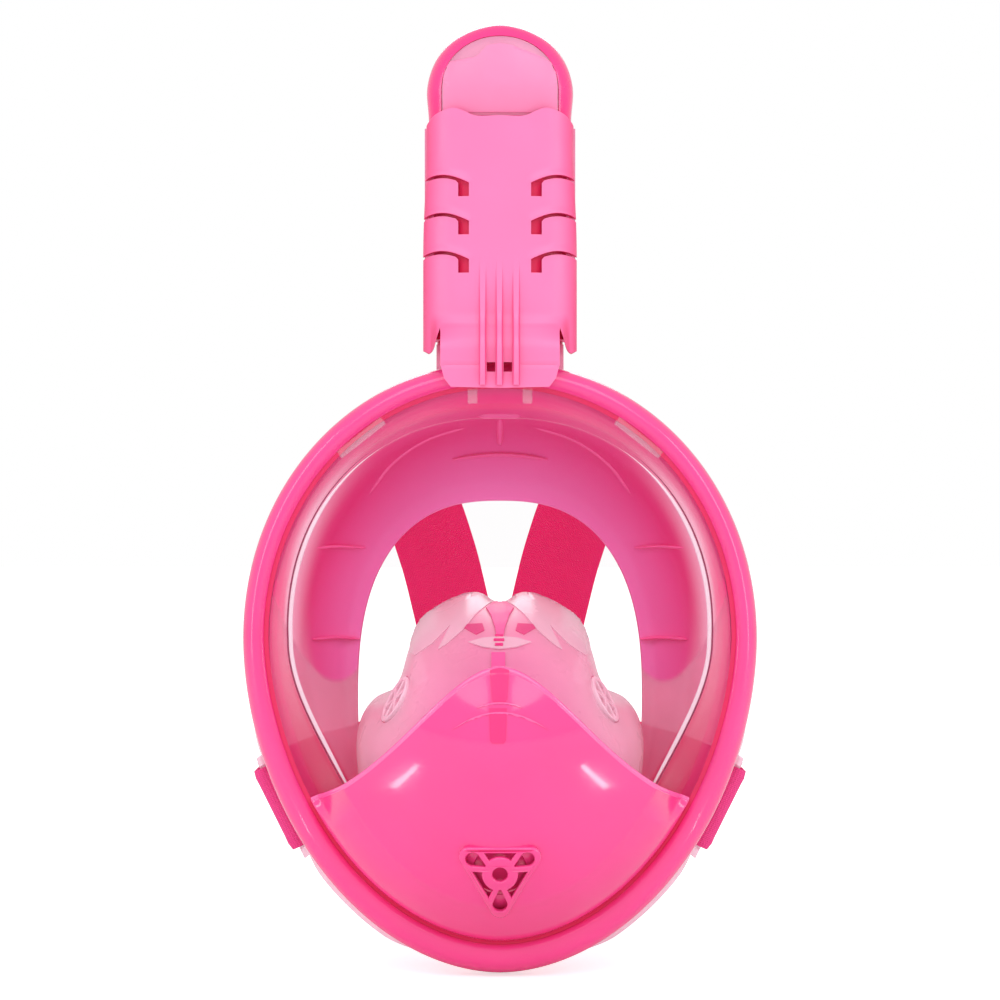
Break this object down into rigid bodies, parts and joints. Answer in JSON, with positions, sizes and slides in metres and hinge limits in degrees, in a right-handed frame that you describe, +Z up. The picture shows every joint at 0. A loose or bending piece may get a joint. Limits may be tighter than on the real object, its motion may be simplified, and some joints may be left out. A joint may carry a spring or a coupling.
{
  "type": "full face snorkel mask",
  "caption": "Egg-shaped full face mask with a clear visor, silicone face skirt, chin drain valve, fold-back snorkel with a float cap, and a four-strap harness.",
  "frame": {"origin": "on the eye line in the middle of the mask, on the plane that the face skirt's lip touches", "axes": "+X to the right as seen from the front, +Y back towards the wearer, +Z up"},
  "size_m": [0.1744, 0.2137, 0.3194],
  "materials": {
    "pink_gloss": "glossy moulded plastic",
    "pink_satin": "satin moulded plastic",
    "frosted_clear": "frosted clear plastic",
    "clear_lens": "clear polycarbonate",
    "frosted_pink": "frosted pink plastic",
    "skirt_silicone": "satin opaque silicone",
    "pocket_silicone": "translucent satin silicone",
    "valve_silicone": "translucent silicone",
    "webbing": "elastic knit webbing",
    "pin_steel": "ground steel"
  },
  "bodies": {
    "mask": {"front_frame": "pink_gloss", "rear_frame": "frosted_clear", "visor_lens": "clear_lens", "chin_cover": "pink_gloss", "face_skirt": "skirt_silicone", "nose_pocket": "pocket_silicone", "purge_grille": "pink_gloss", "purge_valve_seat": "skirt_silicone", "inhale_valve_seat_left": "pocket_silicone", "inhale_valve_seat_right": "pocket_silicone", "snorkel_socket": "frosted_clear", "socket_gasket": "valve_silicone", "hinge_pin": "pin_steel", "strap_loop_upper_left": "webbing", "strap_loop_upper_right": "webbing", "strap_loop_lower_left": "webbing", "strap_loop_lower_right": "webbing", "upper_strap_left": "webbing", "upper_strap_right": "webbing", "lower_strap_left": "webbing", "lower_strap_right": "webbing", "back_pad": "webbing"},
    "snorkel": {"snorkel_rear_tube": "frosted_clear", "snorkel_front_cover": "pink_satin", "snorkel_cap": "pink_gloss", "cap_window": "frosted_pink", "float_floor": "pink_gloss", "float_seat": "pink_gloss", "channel_wall_left": "frosted_clear", "channel_wall_right": "frosted_clear"},
    "float": {"float_body": "valve_silicone", "float_seal": "valve_silicone"},
    "purge_flap": {"purge_flap": "skirt_silicone"},
    "inhale_flap_left": {"inhale_flap_left": "valve_silicone"},
    "inhale_flap_right": {"inhale_flap_right": "valve_silicone"},
    "slider_left": {"strap_slider_left": "pink_gloss"},
    "slider_right": {"strap_slider_right": "pink_gloss"}
  },
  "joints": [
    {"name": "snorkel_fold", "type": "hinge", "parent": "mask", "child": "snorkel", "pos_m": [0, -0.012, 0.102], "axis": [-1, 0, 0], "range_deg": [0, 90]},
    {"name": "float_rise", "type": "slide", "parent": "snorkel", "child": "float", "axis": [0, 0, 1], "range_m": [0, 0.004]},
    {"name": "purge_flap_lift", "type": "slide", "parent": "mask", "child": "purge_flap", "axis": [0, -0.8975, -0.4411], "range_m": [0, 0.0015], "stiffness_N_per_m": 40},
    {"name": "inhale_flap_left_lift", "type": "slide", "parent": "mask", "child": "inhale_flap_left", "axis": [0.8574, 0.2365, -0.4572], "range_m": [0, 0.002], "stiffness_N_per_m": 40},
    {"name": "inhale_flap_right_lift", "type": "slide", "parent": "mask", "child": "inhale_flap_right", "axis": [-0.8574, 0.2365, -0.4572], "range_m": [0, 0.002], "stiffness_N_per_m": 40},
    {"name": "slider_left_travel", "type": "slide", "parent": "mask", "child": "slider_left", "axis": [0, 1, 0], "range_m": [0, 0.016]},
    {"name": "slider_right_travel", "type": "slide", "parent": "mask", "child": "slider_right", "axis": [0, 1, 0], "range_m": [0, 0.016]}
  ]
}
